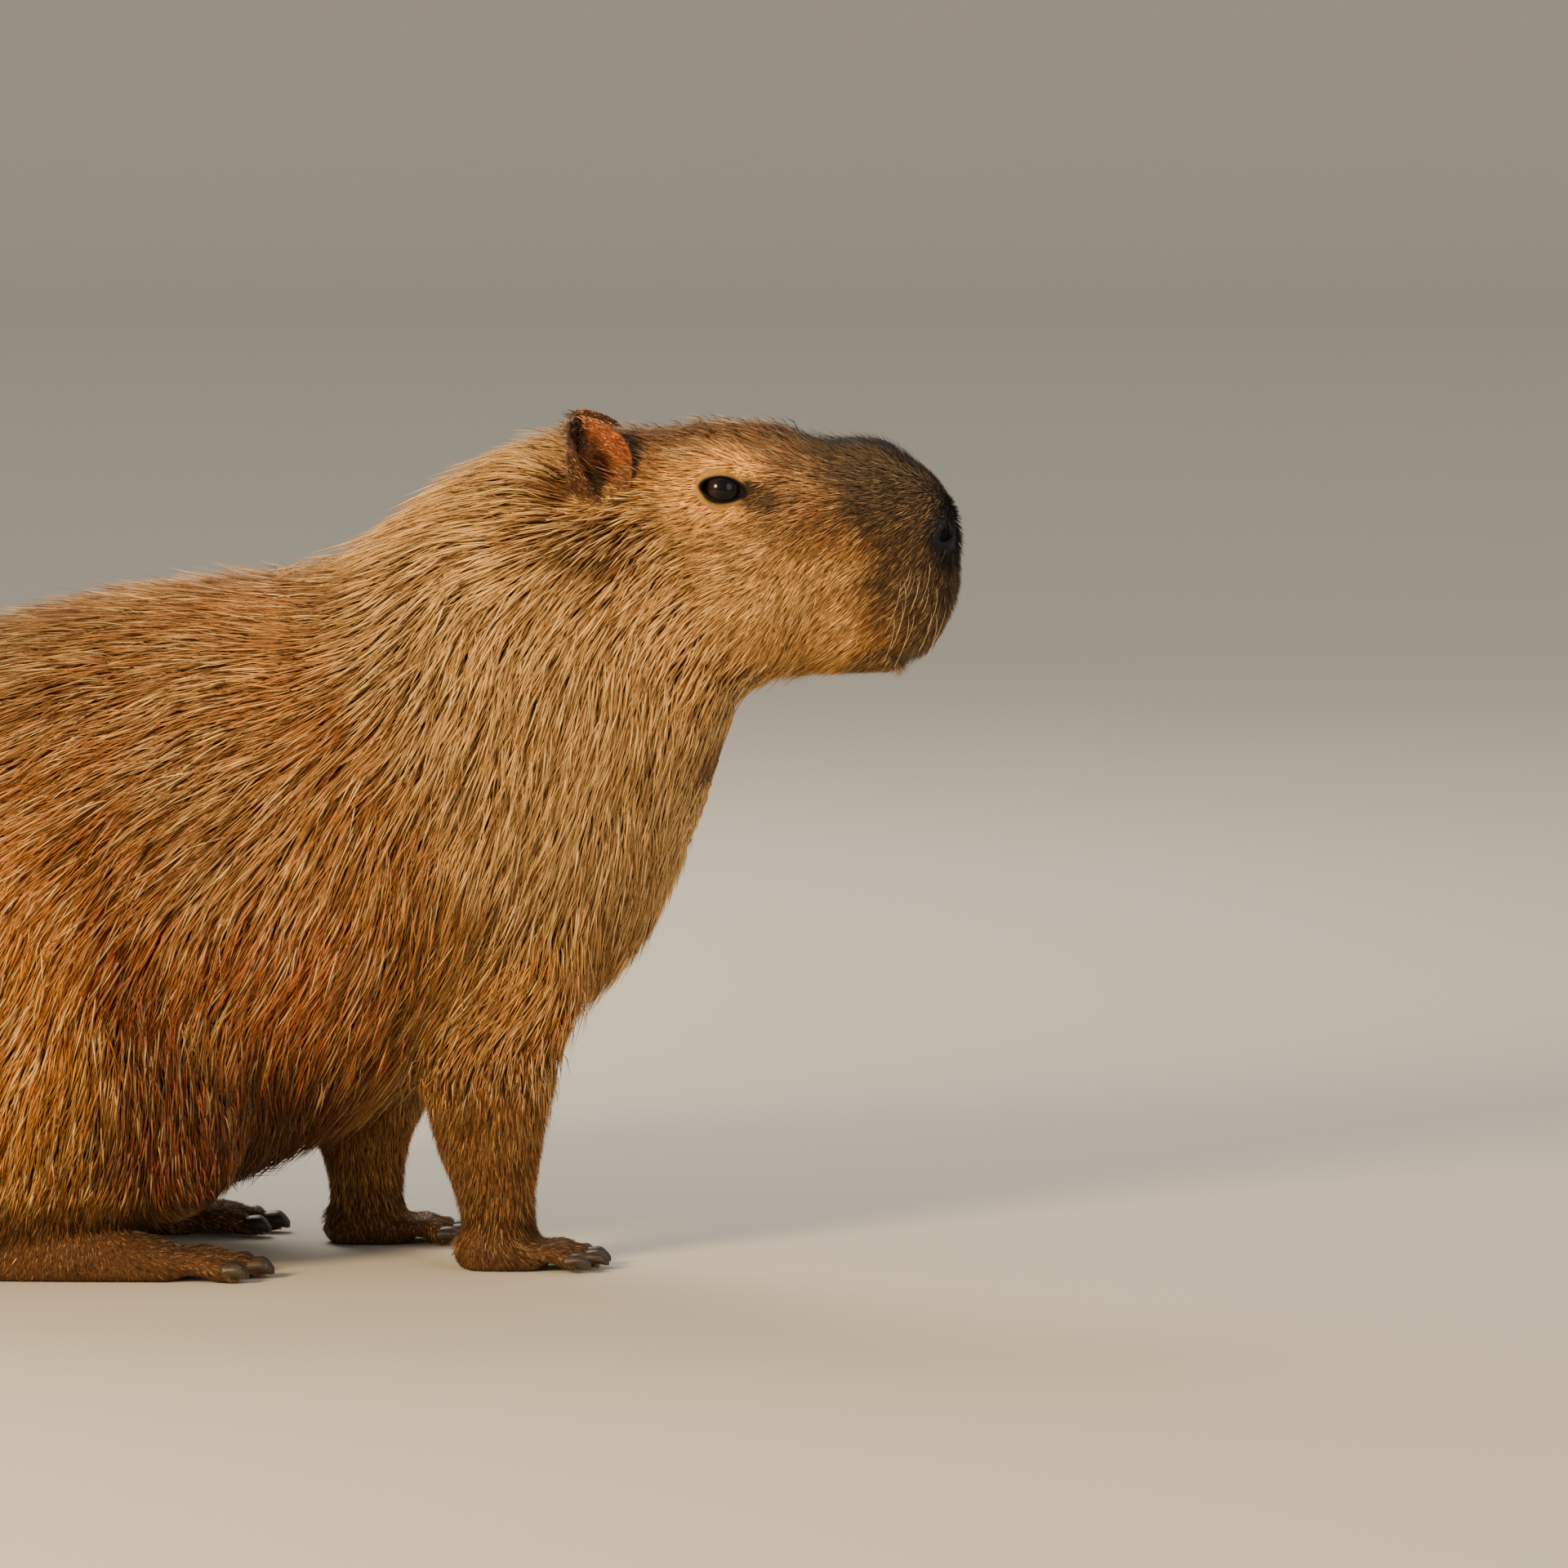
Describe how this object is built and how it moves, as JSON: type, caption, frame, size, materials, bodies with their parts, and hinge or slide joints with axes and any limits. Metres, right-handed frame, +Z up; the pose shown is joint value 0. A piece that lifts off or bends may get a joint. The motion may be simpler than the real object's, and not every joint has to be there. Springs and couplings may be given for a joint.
{
  "type": "capybara",
  "caption": "Life-size still model of an adult male capybara sitting on its haunches with upright forelegs, in a coarse golden-brown coat.",
  "frame": {"origin": "on the floor under the middle of the animal's length and width", "axes": "+X towards the nose, +Y towards the animal's left side, +Z up"},
  "size_m": [0.907, 0.3606, 0.581],
  "materials": {
    "coat": "coarse bristly hair",
    "ear": "thin, nearly bare skin",
    "foot": "short-haired rough skin",
    "claw": "worn horn",
    "eye": "wet and glossy"
  },
  "bodies": {
    "root": {"claw_fore_left_1": "claw", "claw_fore_left_2": "claw", "claw_fore_left_3": "claw", "claw_fore_left_4": "claw", "claw_fore_right_1": "claw", "claw_fore_right_2": "claw", "claw_fore_right_3": "claw", "claw_fore_right_4": "claw", "claw_hind_left_1": "claw", "claw_hind_left_2": "claw", "claw_hind_left_3": "claw", "claw_hind_right_1": "claw", "claw_hind_right_2": "claw", "claw_hind_right_3": "claw", "ear_left": "ear", "ear_right": "ear", "eye_left": "eye", "eye_right": "eye", "forefoot_left": "foot", "forefoot_right": "foot", "foreleg_left": "coat", "foreleg_right": "coat", "haunch_left": "coat", "haunch_right": "coat", "head": "coat", "hindfoot_left": "foot", "hindfoot_right": "foot", "neck": "coat", "tail": "coat", "torso": "coat"}
  },
  "joints": []
}
